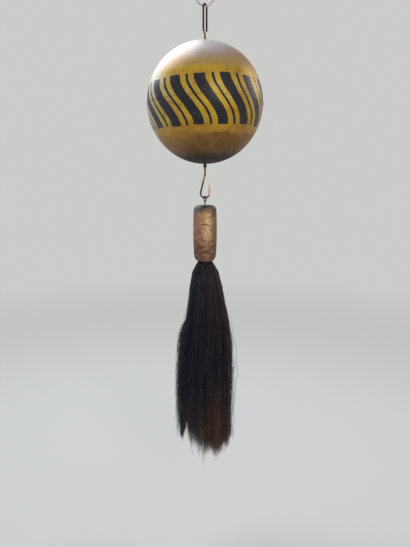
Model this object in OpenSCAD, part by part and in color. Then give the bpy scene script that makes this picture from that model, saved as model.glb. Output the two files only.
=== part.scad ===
// Hanging barber's ball: a painted sheet metal ball on an iron rod, with a horsehair tassel
// hooked on below. It hangs from a wire ring. Millimetres, +Z up.
// The origin is the point at the top inside of the ring, where a bracket's hook carries it.

/* [Hanging ring] */
// Clear opening inside the ring
ring_bore = 29; // [26:0.5:40]
// Thickness of the ring's wire
ring_wire = 3.2; // [2:0.1:3.6]
// Turns of wire in the ring, with the ends lying side by side
ring_turns = 1.35; // [1.2:0.05:1.45]
// Space between the lapped ends of the ring
ring_lap_gap = 0.6; // [0.5:0.1:1.2]
// Where the inner end of the wire lies, in degrees from the right
ring_start = -58; // [-60:1:-50]

/* [Rod] */
// Thickness of the iron rod
rod_d = 4; // [3:0.1:5]
// Length of the end that is folded back to make the eye
eye_tail = 45; // [25:1:70]
// Turn of the eye away from the ring's face, in degrees
eye_turn = 55; // [52:1:80]
// Space between the ring's wire and the eye's sides
eye_side_gap = 1.3; // [1.2:0.1:3]
// Space between the ring's wire and the eye's top
eye_top_gap = 0.5; // [0.3:0.1:1.5]
// Radius of the two bends that bring the eye back to the rod's line
crank_r = 6; // [4:0.5:8]
// Slope of the rod between those bends, in degrees
crank_slope = 35; // [25:1:45]
// Height of the folded end above the start of the bends
crank_lap = 4; // [2:0.5:8]
// Bare rod between the bends and the ball
neck_len = 12; // [6:1:40]
// Bare rod between the ball and the hook
foot_len = 22; // [16:1:60]
// Radius of the hook's round bend
hook_r = 10; // [9:0.5:14]
// Slope of the rod down to the hook's bend, in degrees
hook_slope = 14; // [12:1:20]
// Radius of the small bend above the hook
hook_neck_r = 6; // [4:0.5:10]
// Straight length of the hook's open end
hook_arm = 19; // [12:1:26]

/* [Ball] */
// Diameter of the ball
ball_d = 250; // [180:5:320]
// Thickness of the sheet
ball_wall = 1; // [0.8:0.1:1.6]
// How far the lower half's lip reaches up inside the upper half
lap_up = 8; // [4:1:15]
// How far the lip is soldered down inside its own half
lap_down = 12; // [10:1:18]
// Height of the turned edge at the seam
seam_h = 2.6; // [1.6:0.1:4]
// How far the turned edge stands out
seam_out = 0.7; // [0.3:0.1:1.2]
// Diameter of the washers soldered inside both poles
pole_washer_d = 36; // [20:1:60]
// Thickness of those washers
pole_washer_t = 1.5; // [1:0.1:2.5]
// Radial play of the ball on the rod
spin_gap = 0.08; // [0.05:0.01:0.1]
// Layer of solder between two sheets
solder_gap = 0.1; // [0.05:0.01:0.2]

/* [Collar under the ball] */
// Diameter of the collar that carries the ball
collar_d = 7.5; // [6.5:0.1:12]
// Height of the collar
collar_h = 7; // [5:0.5:10]
// Diameter of the pin through collar and rod
pin_d = 1.6; // [1.2:0.1:2]
// Radial play of the collar and its pin
pin_gap = 0.05; // [0.02:0.01:0.1]
// Space between the ball and its collar
seat_gap = 0.2; // [0.1:0.05:0.5]

/* [Tassel eye] */
// Thickness of the tassel's wire eye
tassel_wire = 2.6; // [2:0.1:3.2]
// Turn of the tassel's eye away from the hook's face, in degrees
tassel_turn = 65; // [60:1:90]
// Space between the hook and the sides of the tassel's eye
tassel_side_gap = 1.8; // [1.7:0.1:3]
// Space between the hook and the top of the tassel's eye
tassel_top_gap = 0.4; // [0.3:0.1:1]
// Bare shank between the eye and the head
shank_neck = 7; // [5:0.5:20]
// Diameter of the bead that closes the eye
bead_d = 4.2; // [4:0.1:5]
// Diameter of the riveted end of the shank
rivet_d = 5.4; // [4.5:0.1:7]
// Height of the riveted end
rivet_h = 1.6; // [1:0.1:2.5]
// Diameter of the washer inside the head
head_washer_d = 16; // [10:1:24]
// Thickness of that washer
head_washer_t = 1.5; // [1:0.1:2.5]
// Radial play of the shank in the head
shank_gap = 0.2; // [0.1:0.05:0.5]

/* [Head] */
// Diameter of the turned head at its belly
head_d = 55; // [46:1:70]
// Height of the head
head_h = 128; // [100:1:180]
// Swell of the head's side between its ends
head_swell = 1.2; // [0:0.1:2.5]
// Radius of the head's shoulder
shoulder_r = 12; // [6:0.5:16]
// Height of the head's lower taper
taper_h = 20; // [10:1:35]
// Diameter of the head's mouth
mouth_d = 34; // [32:0.5:40]
// Diameter of the socket for the hair
socket_d = 30; // [24:0.5:30]
// Depth of the socket
socket_depth = 54; // [40:1:80]

/* [Hair] */
// Depth of the bound root inside the socket
root_h = 42; // [20:1:50]
// Play between the root and its socket
root_gap = 0.3; // [0.1:0.1:0.6]
// Depth of the hair's pad below the head
pad_h = 6.5; // [6:0.5:12]
// Circles of hair on the pad
hair_circles = 12; // [11:1:12]
// Length of the hair at its middle, below the head
hair_len = 505; // [300:5:700]
// Width of the hair
hair_w = 134; // [90:1:150]
// Depth of the hair from front to back
hair_depth = 100; // [80:1:140]
// Thickness of one strand
strand_d = 3.5; // [2:0.1:3.6]
// How much shorter the hair is at its sides
side_cut = 24; // [0:1:60]
// Length that the narrow lock at the left ends above the rest
lock_rise = 36; // [0:1:80]
// Difference in length between neighbouring strands
hair_ragged = 22; // [0:1:40]

/* [Binding] */
// Thickness of the binding wire
binding_wire = 1; // [0.8:0.1:1.1]
// Turns of binding wire
binding_turns = 3; // [2:1:3]
// Space between the turns
binding_gap = 0.6; // [0.5:0.1:0.8]
// Space between the binding and what it lies against
binding_seat = 0.3; // [0.2:0.1:0.5]

/* [Hidden] */
$fn = 64;

// Smallest space that wound wire keeps to itself
least_self_gap = 0.4;
// Sides of a wound wire, and its rings in one turn
wire_sides = 6;
wire_rings = 24;
// Points for each turn when a winding's gap is measured
measure_rings = 72;

// Ring: its radius grows by one wire where it doesn't lap itself
ring_r = ring_bore / 2 + ring_wire / 2;
ring_step = ring_wire + ring_lap_gap;
ring_lap = 360 * (ring_turns - 1);
function eased(t) = t * t * (3 - 2 * t);
function ring_share(a) = (a - ring_start - ring_lap) / (360 - ring_lap);
function ring_radius(a) = ring_r + ring_step * eased(min(1, max(0, ring_share(a))));
top_angle = 90;
bottom_angle = 270;
ring_cz = -(ring_radius(top_angle) - ring_wire / 2);
ring_bottom_z = ring_cz - ring_radius(bottom_angle);
function ring_path(rings) =
    let (count = ceil(ring_turns * rings))
    [for (i = [0:count])
        let (a = ring_start + 360 * ring_turns * i / count)
        [ring_radius(a) * cos(a), 0, ring_cz + ring_radius(a) * sin(a), ring_wire / 2]];

// Rod: heights of its bends, from the eye down to the hook
rod_r = rod_d / 2;
eye_half = (ring_wire / 2 + rod_r + eye_side_gap) / sin(eye_turn);
eye_cz = ring_bottom_z + ring_wire / 2 + eye_top_gap + rod_r - eye_half;
tail_z = eye_cz - eye_tail;
crank_top_z = tail_z + crank_lap;
crank_side = crank_r * (1 - cos(crank_slope));
crank_drop = crank_r * sin(crank_slope);
crank_straight = (eye_half - 2 * crank_side) / sin(crank_slope);
crank_bottom_z = crank_top_z - 2 * crank_drop - crank_straight * cos(crank_slope);
ball_r = ball_d / 2;
ball_cz = crank_bottom_z - neck_len - ball_r;
ball_foot_z = ball_cz - ball_r;
hook_top_z = ball_foot_z - foot_len;
hook_neck_side = hook_neck_r * (1 - cos(hook_slope));
hook_neck_drop = hook_neck_r * sin(hook_slope);
hook_straight = (hook_r * cos(hook_slope) - hook_neck_side) / sin(hook_slope);
hook_cz = hook_top_z - hook_neck_drop - hook_straight * cos(hook_slope) - hook_r * sin(hook_slope);
hook_bottom_z = hook_cz - hook_r;
end_chamfer = rod_d / 4;
// The bent lengths are this much finer than the straight rod that they grow from
bent_r = rod_r - 0.03;
root_share = 0.8;
bent_sides = 12;
bend_steps = 14;
small_bend_steps = 4;

// Ball
pole_hole_r = rod_r + spin_gap;
ball_inner_r = ball_r - ball_wall;
// Outside of what is soldered in: the lip and the washers
soldered_r = ball_inner_r - solder_gap;

// Collar
collar_top_z = ball_foot_z - seat_gap;
collar_chamfer = 0.8;
pin_z = collar_top_z - collar_h / 2;

// Tassel eye
tassel_eye_r = (rod_r + tassel_wire / 2 + tassel_side_gap) / sin(tassel_turn);
tassel_eye_cz = hook_bottom_z + rod_r + tassel_top_gap + tassel_wire / 2 - tassel_eye_r;
bead_z = tassel_eye_cz - tassel_eye_r;
head_top_z = bead_z - tassel_wire / 2 - shank_neck;

// Head
head_foot_z = head_top_z - head_h;
head_r = head_d / 2;
mouth_r = mouth_d / 2;
shank_bore_r = tassel_wire / 2 + shank_gap;
socket_top_z = head_foot_z + socket_depth;
arc_steps = 8;
belly_steps = 6;

// Hair
root_r = socket_d / 2 - root_gap;
pad_r = root_r;
pad_foot_z = head_foot_z - pad_h;
strand_r = strand_d / 2;
// Share of the hair's width and of its length below the pad, where the strands change slope
bend_width = 0.56;
bend_share = 0.12;
full_share = 0.46;
tip_width = 0.98;
strand_root = 0.55;
hair_seed = 7;

// Binding
binding_r = pad_r + binding_seat + binding_wire / 2;
binding_pitch = binding_wire + binding_gap;
binding_top_z = head_foot_z - binding_seat - binding_wire / 2;
function binding_path(rings) =
    [for (i = [0:binding_turns * rings])
        let (a = 360 * i / rings)
        [binding_r * cos(a), binding_r * sin(a), binding_top_z - binding_pitch * i / rings,
         binding_wire / 2]];

// A tube with flat ends, swept along points that each hold a place and a radius. Seen along
// the path, its sides are set out from the direction called up.
function unit(v) = v / norm(v);
function place(p) = [p[0], p[1], p[2]];
function heading(path, i) =
    unit(place(path[min(i + 1, len(path) - 1)]) - place(path[max(i - 1, 0)]));
function tube_points(path, up, sides) =
    [for (i = [0:len(path) - 1])
        let (ahead = heading(path, i), out = unit(cross(ahead, up)), over = unit(cross(out, ahead)))
        for (s = [0:sides - 1])
            let (a = 360 * (s + 0.5) / sides)
            place(path[i]) + path[i][3] * (cos(a) * out + sin(a) * over)];
function tube_faces(rings, n) = concat(
    [for (i = [0:rings - 2])
        for (s = [0:n - 1])
            let (a = i * n + s, b = i * n + (s + 1) % n)
            each [[a, b, b + n], [a, b + n, a + n]]],
    [for (s = [1:n - 2]) [0, s + 1, s]],
    [for (s = [1:n - 2]) let (o = (rings - 1) * n) [o, o + s, o + s + 1]]);
module tube(path, up, sides)
    polyhedron(tube_points(path, up, sides), tube_faces(len(path), sides), convexity = 10);

// Least space between the turns of a winding, measured between points most of a turn apart
function least_gap(path, apart, wire) =
    min([for (i = [0:len(path) - 1])
        for (j = [i + apart:1:len(path) - 1])
            norm(place(path[i]) - place(path[j])) - wire]);
far_apart = round(measure_rings * 0.75);
ring_self_gap = least_gap(ring_path(measure_rings), far_apart, ring_wire);
binding_self_gap = least_gap(binding_path(measure_rings), far_apart, binding_wire);
echo(ring_least_gap = ring_self_gap, binding_least_gap = binding_self_gap, wanted = least_self_gap);

// Points round a bend of the rod, in the plane of X and Z
function bend(x, z, r, from, to, steps) =
    [for (i = [0:steps])
        let (a = from + (to - from) * i / steps)
        [x + r * cos(a), 0, z + r * sin(a), bent_r]];

// The long eye: out of the straight rod, over the crank, round the ring's wire and down again
eye_path = concat(
    [[0, 0, crank_bottom_z - rod_r, bent_r * root_share]],
    bend(-crank_r, crank_bottom_z, crank_r, 0, crank_slope, small_bend_steps),
    bend(crank_r - eye_half, crank_top_z, crank_r, 180 + crank_slope, 180, small_bend_steps),
    bend(0, eye_cz, eye_half, 180, 0, bend_steps),
    [[eye_half, 0, tail_z + end_chamfer, bent_r], [eye_half, 0, tail_z, bent_r - end_chamfer]]);

// The hook: out of the straight rod, down its slope, round the bend and up to its open end
hook_path = concat(
    [[0, 0, hook_top_z + rod_r, bent_r * root_share]],
    bend(-hook_neck_r, hook_top_z, hook_neck_r, 0, -hook_slope, small_bend_steps),
    bend(0, hook_cz, hook_r, 180 - hook_slope, 360, bend_steps),
    [[hook_r, 0, hook_cz + hook_arm - end_chamfer, bent_r],
     [hook_r, 0, hook_cz + hook_arm, bent_r - end_chamfer]]);

// Section of the ball's sheet in one quarter, up or down
module quarter_sheet(up)
    difference() {
        intersection() {
            circle(ball_r);
            translate([pole_hole_r, up ? 0 : -ball_r])
                square([ball_r, ball_r]);
        }
        circle(ball_inner_r);
    }

// Section of the sheet strip that joins the halves, from a height z up, with its outside at r
module strip_section(r, z, h)
    intersection() {
        difference() {
            circle(r);
            circle(soldered_r - ball_wall);
        }
        translate([pole_hole_r, z])
            square([ball_r, h]);
    }

// A dished washer that follows the inside of the ball at a pole
module pole_washer(up)
    rotate_extrude()
        intersection() {
            difference() {
                circle(soldered_r);
                circle(soldered_r - pole_washer_t);
            }
            translate([pole_hole_r, up ? 0 : -ball_r])
                square([pole_washer_d / 2 - pole_hole_r, ball_r]);
        }

module hanging_ring()
    color("gainsboro")
        tube(ring_path(wire_rings), [0, 1, 0], wire_sides);

module hook_rod()
    color("saddlebrown")
        difference() {
            union() {
                translate([0, 0, hook_top_z])
                    cylinder(d = rod_d, h = crank_bottom_z - hook_top_z);
                rotate([0, 0, eye_turn])
                    tube(eye_path, [0, 1, 0], bent_sides);
                tube(hook_path, [0, 1, 0], bent_sides);
            }
            translate([0, 0, pin_z])
                rotate([90, 0, 0])
                    cylinder(r = pin_d / 2 + pin_gap, h = 2 * rod_d, center = true);
        }

module ball_upper()
    color("silver")
        translate([0, 0, ball_cz])
            rotate_extrude() {
                quarter_sheet(true);
                polygon([[ball_inner_r, 0], [ball_r + seam_out, 0], [ball_r + seam_out, seam_h / 2],
                         [ball_inner_r + ball_wall / 2, seam_h]]);
            }

module ball_lower()
    color("goldenrod")
        translate([0, 0, ball_cz])
            rotate_extrude() {
                quarter_sheet(false);
                strip_section(ball_inner_r + ball_wall / 2, -lap_down, lap_down);
                strip_section(soldered_r, -lap_down, lap_down + lap_up);
            }

module crown_washer()
    color("dimgray")
        translate([0, 0, ball_cz])
            pole_washer(true);

module foot_washer()
    color("dimgray")
        translate([0, 0, ball_cz])
            pole_washer(false);

module support_collar()
    color("dimgray")
        difference() {
            translate([0, 0, collar_top_z - collar_h])
                rotate_extrude()
                    polygon([[rod_r + pin_gap, 0], [collar_d / 2 - collar_chamfer, 0],
                             [collar_d / 2, collar_chamfer], [collar_d / 2, collar_h - collar_chamfer],
                             [collar_d / 2 - collar_chamfer, collar_h], [rod_r + pin_gap, collar_h]]);
            translate([0, 0, pin_z])
                rotate([90, 0, 0])
                    cylinder(r = pin_d / 2 + pin_gap, h = 2 * collar_d, center = true);
        }

module collar_pin()
    color("peru")
        translate([0, 0, pin_z])
            rotate([90, 0, 0])
                cylinder(d = pin_d, h = collar_d, center = true);

module tassel_eye()
    color("sienna") {
        translate([0, 0, tassel_eye_cz])
            rotate([90, 0, tassel_turn])
                rotate_extrude()
                    translate([tassel_eye_r, 0])
                        circle(d = tassel_wire);
        translate([0, 0, bead_z])
            sphere(d = bead_d);
        translate([0, 0, socket_top_z - head_washer_t])
            cylinder(d = tassel_wire, h = bead_z - socket_top_z + head_washer_t);
        translate([0, 0, socket_top_z - head_washer_t - rivet_h])
            cylinder(d = rivet_d, h = rivet_h);
    }

module head_washer()
    color("dimgray")
        translate([0, 0, socket_top_z - head_washer_t])
            difference() {
                cylinder(d = head_washer_d, h = head_washer_t);
                translate([0, 0, -head_washer_t])
                    cylinder(r = tassel_wire / 2 + pin_gap, h = 3 * head_washer_t);
            }

// Outline of the turned head, from the shank's bore round its outside to the socket
function shoulder_points() =
    [for (i = [0:arc_steps])
        let (a = 90 - 90 * i / arc_steps)
        [head_r - head_swell - shoulder_r + shoulder_r * cos(a),
         head_h - shoulder_r + shoulder_r * sin(a)]];
function belly_points() =
    [for (i = [1:belly_steps])
        let (t = i / (belly_steps + 1), rise = 1 - pow(2 * t - 1, 2))
        [head_r - head_swell * (1 - rise), head_h - shoulder_r - t * (head_h - shoulder_r - taper_h)]];
function taper_points() =
    [for (i = [0:arc_steps])
        let (a = 90 * i / arc_steps)
        [mouth_r + (head_r - head_swell - mouth_r) * cos(a), taper_h * (1 - sin(a))]];
module tassel_head()
    color("darkgoldenrod")
        translate([0, 0, head_foot_z])
            rotate_extrude()
                polygon(concat(
                    [[shank_bore_r, head_h]], shoulder_points(), belly_points(), taper_points(),
                    [[socket_d / 2, 0], [socket_d / 2, socket_depth], [shank_bore_r, socket_depth]]));

module hair_root()
    color("dimgray")
        translate([0, 0, head_foot_z])
            rotate_extrude()
                polygon([[0, 0], [root_r, 0], [root_r, root_h - root_r / 3], [root_r * 0.8, root_h],
                         [0, root_h]]);

module root_binding()
    color("chocolate")
        tube(binding_path(wire_rings), [0, 0, 1], wire_sides);

// The pad's lower face has circles of 6, 12, 18 points and so on round its centre. A strand
// grows from each triangle between them that points outwards, and the others stay flat.
function pad_id(k, j) = k == 0 ? 0 : 1 + 3 * k * (k - 1) + j % (6 * k);
function pad_point(k, j, z) =
    let (a = 60 * j / max(k, 1), r = pad_r * k / hair_circles)
    [r * cos(a), r * sin(a), z];
pad_points = [for (k = [0:hair_circles])
    for (j = [0:max(6 * k - 1, 0)])
        pad_point(k, j, pad_foot_z)];
rim_count = 6 * hair_circles;
rim_start = pad_id(hair_circles, 0);
top_start = len(pad_points);
top_points = concat(
    [for (j = [0:rim_count - 1]) pad_point(hair_circles, j, head_foot_z)],
    [[0, 0, head_foot_z]]);
flat_faces = [for (k = [1:hair_circles])
    for (s = [0:5])
        for (i = [0:k - 1])
            [pad_id(k, s * k + i), pad_id(k, s * k + i + 1), pad_id(k - 1, s * (k - 1) + i)]];
rim_faces = [for (j = [0:rim_count - 1])
    let (n = (j + 1) % rim_count)
    each [[rim_start + j, top_start + j, top_start + n], [rim_start + j, top_start + n, rim_start + n],
          [top_start + j, top_start + rim_count, top_start + n]]];

// Each strand: circle, its place on it, and a number of its own
strands = [for (k = [2:hair_circles])
    for (s = [0:5])
        for (i = [0:k - 2])
            [k, s, i]];
length_draws = rands(-1, 1, len(strands), hair_seed);
side_draws = rands(-1, 1, len(strands), hair_seed + 1);
strand_start = top_start + len(top_points);
strand_size = 7;

// A strand's place across the hair, from 0 at the middle to 1 at the outside, and its direction
function strand_reach(s) = (s[0] - 0.5) / hair_circles;
function strand_angle(s) = 60 * (s[1] + (s[2] + 1) / s[0] / 2 + (s[2] + 0.5) / (s[0] - 1) / 2);
function strand_at(s, width, z) =
    let (a = strand_angle(s), r = strand_reach(s) * width)
    [r * (hair_w / 2 - strand_r) * cos(a), r * (hair_depth / 2 - strand_r) * sin(a), z];

// Where a strand ends: the hair is longest near its middle, and a lock at the left ends higher
function across(s) = strand_reach(s) * cos(strand_angle(s));
function tip_rise(s) =
    let (x = across(s))
    side_cut * x * x + (x < -0.6 ? lock_rise * min(1, (-x - 0.6) / 0.15) : 0);
function strand_tip(n) =
    let (s = strands[n], p = strand_at(s, tip_width, 0))
    [p[0] + side_draws[n] * strand_r / 2, p[1],
     head_foot_z - hair_len + tip_rise(s) + hair_ragged * length_draws[n]];
hair_drop = hair_len - pad_h;
function strand_points(n) =
    let (s = strands[n], a = strand_angle(s),
         bent = strand_at(s, bend_width, pad_foot_z - hair_drop * bend_share),
         full = strand_at(s, 1, pad_foot_z - hair_drop * full_share),
         turns = [a + 240, a + 120, a])
    concat(
        [for (t = turns) bent + strand_r * strand_root * [cos(t), sin(t), 0]],
        [for (t = turns) full + strand_r * [cos(t), sin(t), 0]],
        [strand_tip(n)]);
function strand_faces(n) =
    let (s = strands[n], k = s[0],
         root = [pad_id(k - 1, s[1] * (k - 1) + s[2]), pad_id(k - 1, s[1] * (k - 1) + s[2] + 1),
                 pad_id(k, s[1] * k + s[2] + 1)],
         o = strand_start + strand_size * n,
         rows = [root, [o, o + 1, o + 2], [o + 3, o + 4, o + 5]])
    [for (c = [0:2])
        let (d = (c + 1) % 3)
        each [for (row = [0:1])
            each [[rows[row][c], rows[row + 1][d], rows[row][d]],
                  [rows[row][c], rows[row + 1][c], rows[row + 1][d]]]],
     for (c = [0:2])
        [rows[2][(c + 1) % 3], rows[2][c], o + 6]];

module horsehair()
    color("black")
        polyhedron(
            concat(pad_points, top_points,
                [for (n = [0:len(strands) - 1]) each strand_points(n)]),
            concat(flat_faces, rim_faces,
                [for (n = [0:len(strands) - 1]) each strand_faces(n)]),
            convexity = 20);

hanging_ring();
hook_rod();
ball_upper();
ball_lower();
crown_washer();
foot_washer();
support_collar();
collar_pin();
tassel_eye();
head_washer();
tassel_head();
hair_root();
root_binding();
horsehair();
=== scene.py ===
"""A hairdresser's hanging ball sign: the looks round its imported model, in metres, +Z up."""
import math

import bmesh
import bpy
import numpy as np
from bpy.props import FloatProperty, FloatVectorProperty, IntProperty, PointerProperty
from mathutils import Matrix, Vector, noise


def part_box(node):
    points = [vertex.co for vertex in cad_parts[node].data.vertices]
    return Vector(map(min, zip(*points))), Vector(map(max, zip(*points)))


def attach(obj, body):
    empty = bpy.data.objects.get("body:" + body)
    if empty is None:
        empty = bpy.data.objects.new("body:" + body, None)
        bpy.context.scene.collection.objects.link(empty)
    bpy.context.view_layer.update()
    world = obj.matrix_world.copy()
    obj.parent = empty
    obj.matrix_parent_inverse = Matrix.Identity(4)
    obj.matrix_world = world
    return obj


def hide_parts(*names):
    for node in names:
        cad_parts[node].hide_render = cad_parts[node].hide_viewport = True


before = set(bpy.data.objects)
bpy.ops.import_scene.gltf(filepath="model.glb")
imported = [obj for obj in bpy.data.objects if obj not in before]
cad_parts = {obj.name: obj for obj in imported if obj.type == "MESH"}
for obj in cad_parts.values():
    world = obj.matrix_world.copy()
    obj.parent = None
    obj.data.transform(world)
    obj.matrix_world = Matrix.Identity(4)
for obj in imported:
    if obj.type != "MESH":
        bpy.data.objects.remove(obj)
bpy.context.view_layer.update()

bl_info = {
    "name": "Barber's Ball Sign",
    "version": (1, 0, 0),
    "blender": (4, 5, 0),
    "location": "View3D > Sidebar > Barber's Ball",
    "description": "Dresses a hanging ball sign: ring, rod, painted ball, turned head and horsehair",
    "category": "Add Mesh",
}

MM = 0.001
MERGE = 1e-5  # metres within which two vertices are one
BALL_CENTRE = Vector((0, 0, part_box("ball_upper")[0].z))
BALL_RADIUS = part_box("ball_lower")[1].x
HEAD_LOW, HEAD_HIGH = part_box("tassel_head")
HAIR_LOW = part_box("horsehair")[0]


# Settings that a user would change

def length(name, about, default, low=0.0):
    return FloatProperty(name=name, description=about, default=default, min=low, max=2.0,
                         subtype="DISTANCE", unit="LENGTH", precision=5)


def height(name, about, default):
    """A height against the point that the sign hangs from."""
    return length(name, about, default, -2.0)


def angle(name, about, degrees):
    return FloatProperty(name=name, description=about, default=math.radians(degrees),
                         min=-math.pi, max=math.tau, subtype="ANGLE", unit="ROTATION")


def power(name, about, default):
    return FloatProperty(name=name, description=about, default=default, min=0, unit="POWER")


def colour(name, about, default):
    return FloatVectorProperty(name=name, description=about, default=default, min=0.0, max=1.0,
                               size=3, subtype="COLOR")


class RingSettings(bpy.types.PropertyGroup):
    bore: length("Bore", "Clear opening inside the ring", 29 * MM)
    wire: length("Wire", "Thickness of the ring's wire", 3.2 * MM)
    lap_gap: length("Lap gap", "Space between the lapped ends", 0.6 * MM)
    turns: FloatProperty(name="Turns", description="Turns of wire", default=1.35, min=1.1, max=2.0)
    start: angle("Start", "Where the inner end lies, from the right", -58)
    steel: colour("Steel", "Bright steel of the ring", (0.56, 0.555, 0.53))


class RodSettings(bpy.types.PropertyGroup):
    thickness: length("Thickness", "Thickness of the iron rod", 4 * MM)
    eye_turn: angle("Eye turn", "Turn of the eye away from the ring's face", 55)
    eye_half: length("Eye half width", "From the rod's line to the middle of the eye's side", 5.9818 * MM)
    eye_centre: height("Eye bend", "Height of the eye's round bend", -36.1825 * MM)
    tail: length("Tail", "Length of the folded end", 45 * MM)
    crank_top: height("Crank top", "Height where the crank begins", -77.1825 * MM)
    crank_radius: length("Crank radius", "Radius of the crank's two bends", 6 * MM)
    crank_slope: angle("Crank slope", "Slope of the crank", 35)
    hook_top: height("Hook top", "Height where the hook's slope begins", -373.509 * MM)
    hook_radius: length("Hook radius", "Radius of the hook's bend", 10 * MM)
    hook_neck: length("Neck radius", "Radius of the small bend above the hook", 6 * MM)
    hook_slope: angle("Hook slope", "Slope of the rod down to the hook", 14)
    hook_arm: length("Hook arm", "Straight length of the open end", 19 * MM)
    dark: colour("Dark iron", "Old dark iron", (0.035, 0.022, 0.020))
    rust: colour("Rust", "Rust on the iron", (0.150, 0.068, 0.036))
    bare: colour("Worn iron", "Iron rubbed bright", (0.80, 0.54, 0.37))


class BallSettings(bpy.types.PropertyGroup):
    silver: colour("Silver paint", "Aluminium paint of the upper cap", (0.62, 0.585, 0.60))
    toned: colour("Toned paint", "Where the silver paint has browned", (0.34, 0.195, 0.110))
    # Brown of the lower cap: partly dirt, partly painted shade and painted reflection of the darker ground
    # below
    bronze: colour("Bronze paint", "Brown bronze paint of the lower cap", (0.185, 0.088, 0.020))
    flushed: colour("Pink bronze", "Pinkish places in the bronze paint", (0.275, 0.150, 0.072))
    # The colour the paint darkens to towards the bottom pole
    foot_darkening: colour("Grime", "Dirt at the foot of the ball", (0.016, 0.009, 0.006))
    yellow: colour("Band", "Yellow of the painted band", (0.60, 0.375, 0.026))
    # Pale yellow on the lit left side of the band: painted highlight
    highlighted: colour("Highlighted yellow", "Where the yellow has been washed pale", (0.56, 0.47, 0.17))
    stain: colour("Stain", "Brown stains on the band", (0.36, 0.145, 0.018))
    black: colour("Stripes", "Black of the painted stripes", (0.010, 0.010, 0.016))
    band_top: angle("Band top", "Latitude of the band's upper edge", 26.5)
    band_foot: angle("Band foot", "Latitude of the band's lower edge", -30.3)
    stripe_top: angle("Stripe top", "Latitude of the stripes' upper ends", 18.0)
    stripe_foot: angle("Stripe foot", "Latitude of the stripes' lower ends", -26.0)
    stripe_pitch: angle("Stripe pitch", "From one broad stripe to the next", 24)
    stripe_swirl: angle("Stripe swirl", "How far a stripe's ends swing from its middle", 11)
    tilt: angle("Band tilt", "How far the painted band hangs down at the left", 1.8)
    dents: length("Dents", "Depth of the soft dents in the sheet", 0.6 * MM)


class HeadSettings(bpy.types.PropertyGroup):
    gilt: colour("Gilt", "Worn gold bronze paint", (0.60, 0.335, 0.160))
    ground: colour("Ground", "Pinkish ground under the gilding", (0.44, 0.205, 0.150))
    rub: colour("Worn wood", "Red-brown wood where the paint is gone", (0.135, 0.045, 0.022))
    soot: colour("Cracks", "Dirt in the cracks", (0.030, 0.018, 0.013))
    crack: length("Crack depth", "Depth of the cracks", 1.1 * MM)
    diameter: length("Diameter", "Diameter of the head at its belly", 55 * MM)
    height: length("Height", "Height of the head", 128 * MM)
    swell: length("Swell", "Swell of the head's side between its ends", 1.2 * MM)
    shoulder: length("Shoulder", "Radius of the shoulder", 12 * MM)
    taper: length("Taper", "Height of the lower taper", 20 * MM)
    mouth: length("Mouth", "Diameter of the head's mouth", 34 * MM)
    socket: length("Socket", "Diameter of the socket for the hair", 30 * MM)
    socket_depth: length("Socket depth", "Depth of the socket", 54 * MM)


class HairSettings(bpy.types.PropertyGroup):
    strands: IntProperty(name="Strands", description="Number of strands of horsehair", default=9200,
                         min=500, max=12000)
    thickness: length("Thickness", "Thickness of a strand", 0.86 * MM)
    black: colour("Black", "Black horsehair with its blue sheen", (0.0025, 0.0036, 0.0190))
    brown: colour("Brown", "Faded reddish-brown hair", (0.195, 0.072, 0.026))
    pale: colour("Pale", "Bleached ends of the hair", (0.31, 0.26, 0.22))


class StageSettings(bpy.types.PropertyGroup):
    backdrop: colour("Backdrop", "Colour of floor and background", (0.60, 0.60, 0.59))
    paper: colour("Floor", "Colour of the floor near the sign", (0.79, 0.79, 0.78))
    floor_gap: length("Floor gap", "From the hair's tips to the floor", 0.21)
    camera_back: length("Camera distance", "From the sign to the camera", 0.995)
    camera_height: height("Camera height", "Height of the camera", -0.3872)
    camera_pitch: angle("Camera pitch", "How far the camera looks down", 12.1)
    key: power("Key light", "Power of the large lamp at the upper left", 25.5)
    fill: power("Fill light", "Power of the soft lamps at the front and at the right", 8.0)


class SignSettings(bpy.types.PropertyGroup):
    ring: PointerProperty(type=RingSettings)
    rod: PointerProperty(type=RodSettings)
    ball: PointerProperty(type=BallSettings)
    head: PointerProperty(type=HeadSettings)
    hair: PointerProperty(type=HairSettings)
    stage: PointerProperty(type=StageSettings)


# Node trees

def arithmetic(operation, swapped=False):
    """A method of Flow that adds a Math node."""
    def method(self, other):
        return self.graph.maths(operation, *((other, self) if swapped else (self, other)))
    return method


class Flow:
    """A number, vector or colour that runs through a node tree. Arithmetic on it adds Math nodes."""

    def __init__(self, graph, socket):
        self.graph, self.socket = graph, socket

    __add__, __radd__ = arithmetic("ADD"), arithmetic("ADD", True)
    __sub__, __rsub__ = arithmetic("SUBTRACT"), arithmetic("SUBTRACT", True)
    __mul__, __truediv__ = arithmetic("MULTIPLY"), arithmetic("DIVIDE")


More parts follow.
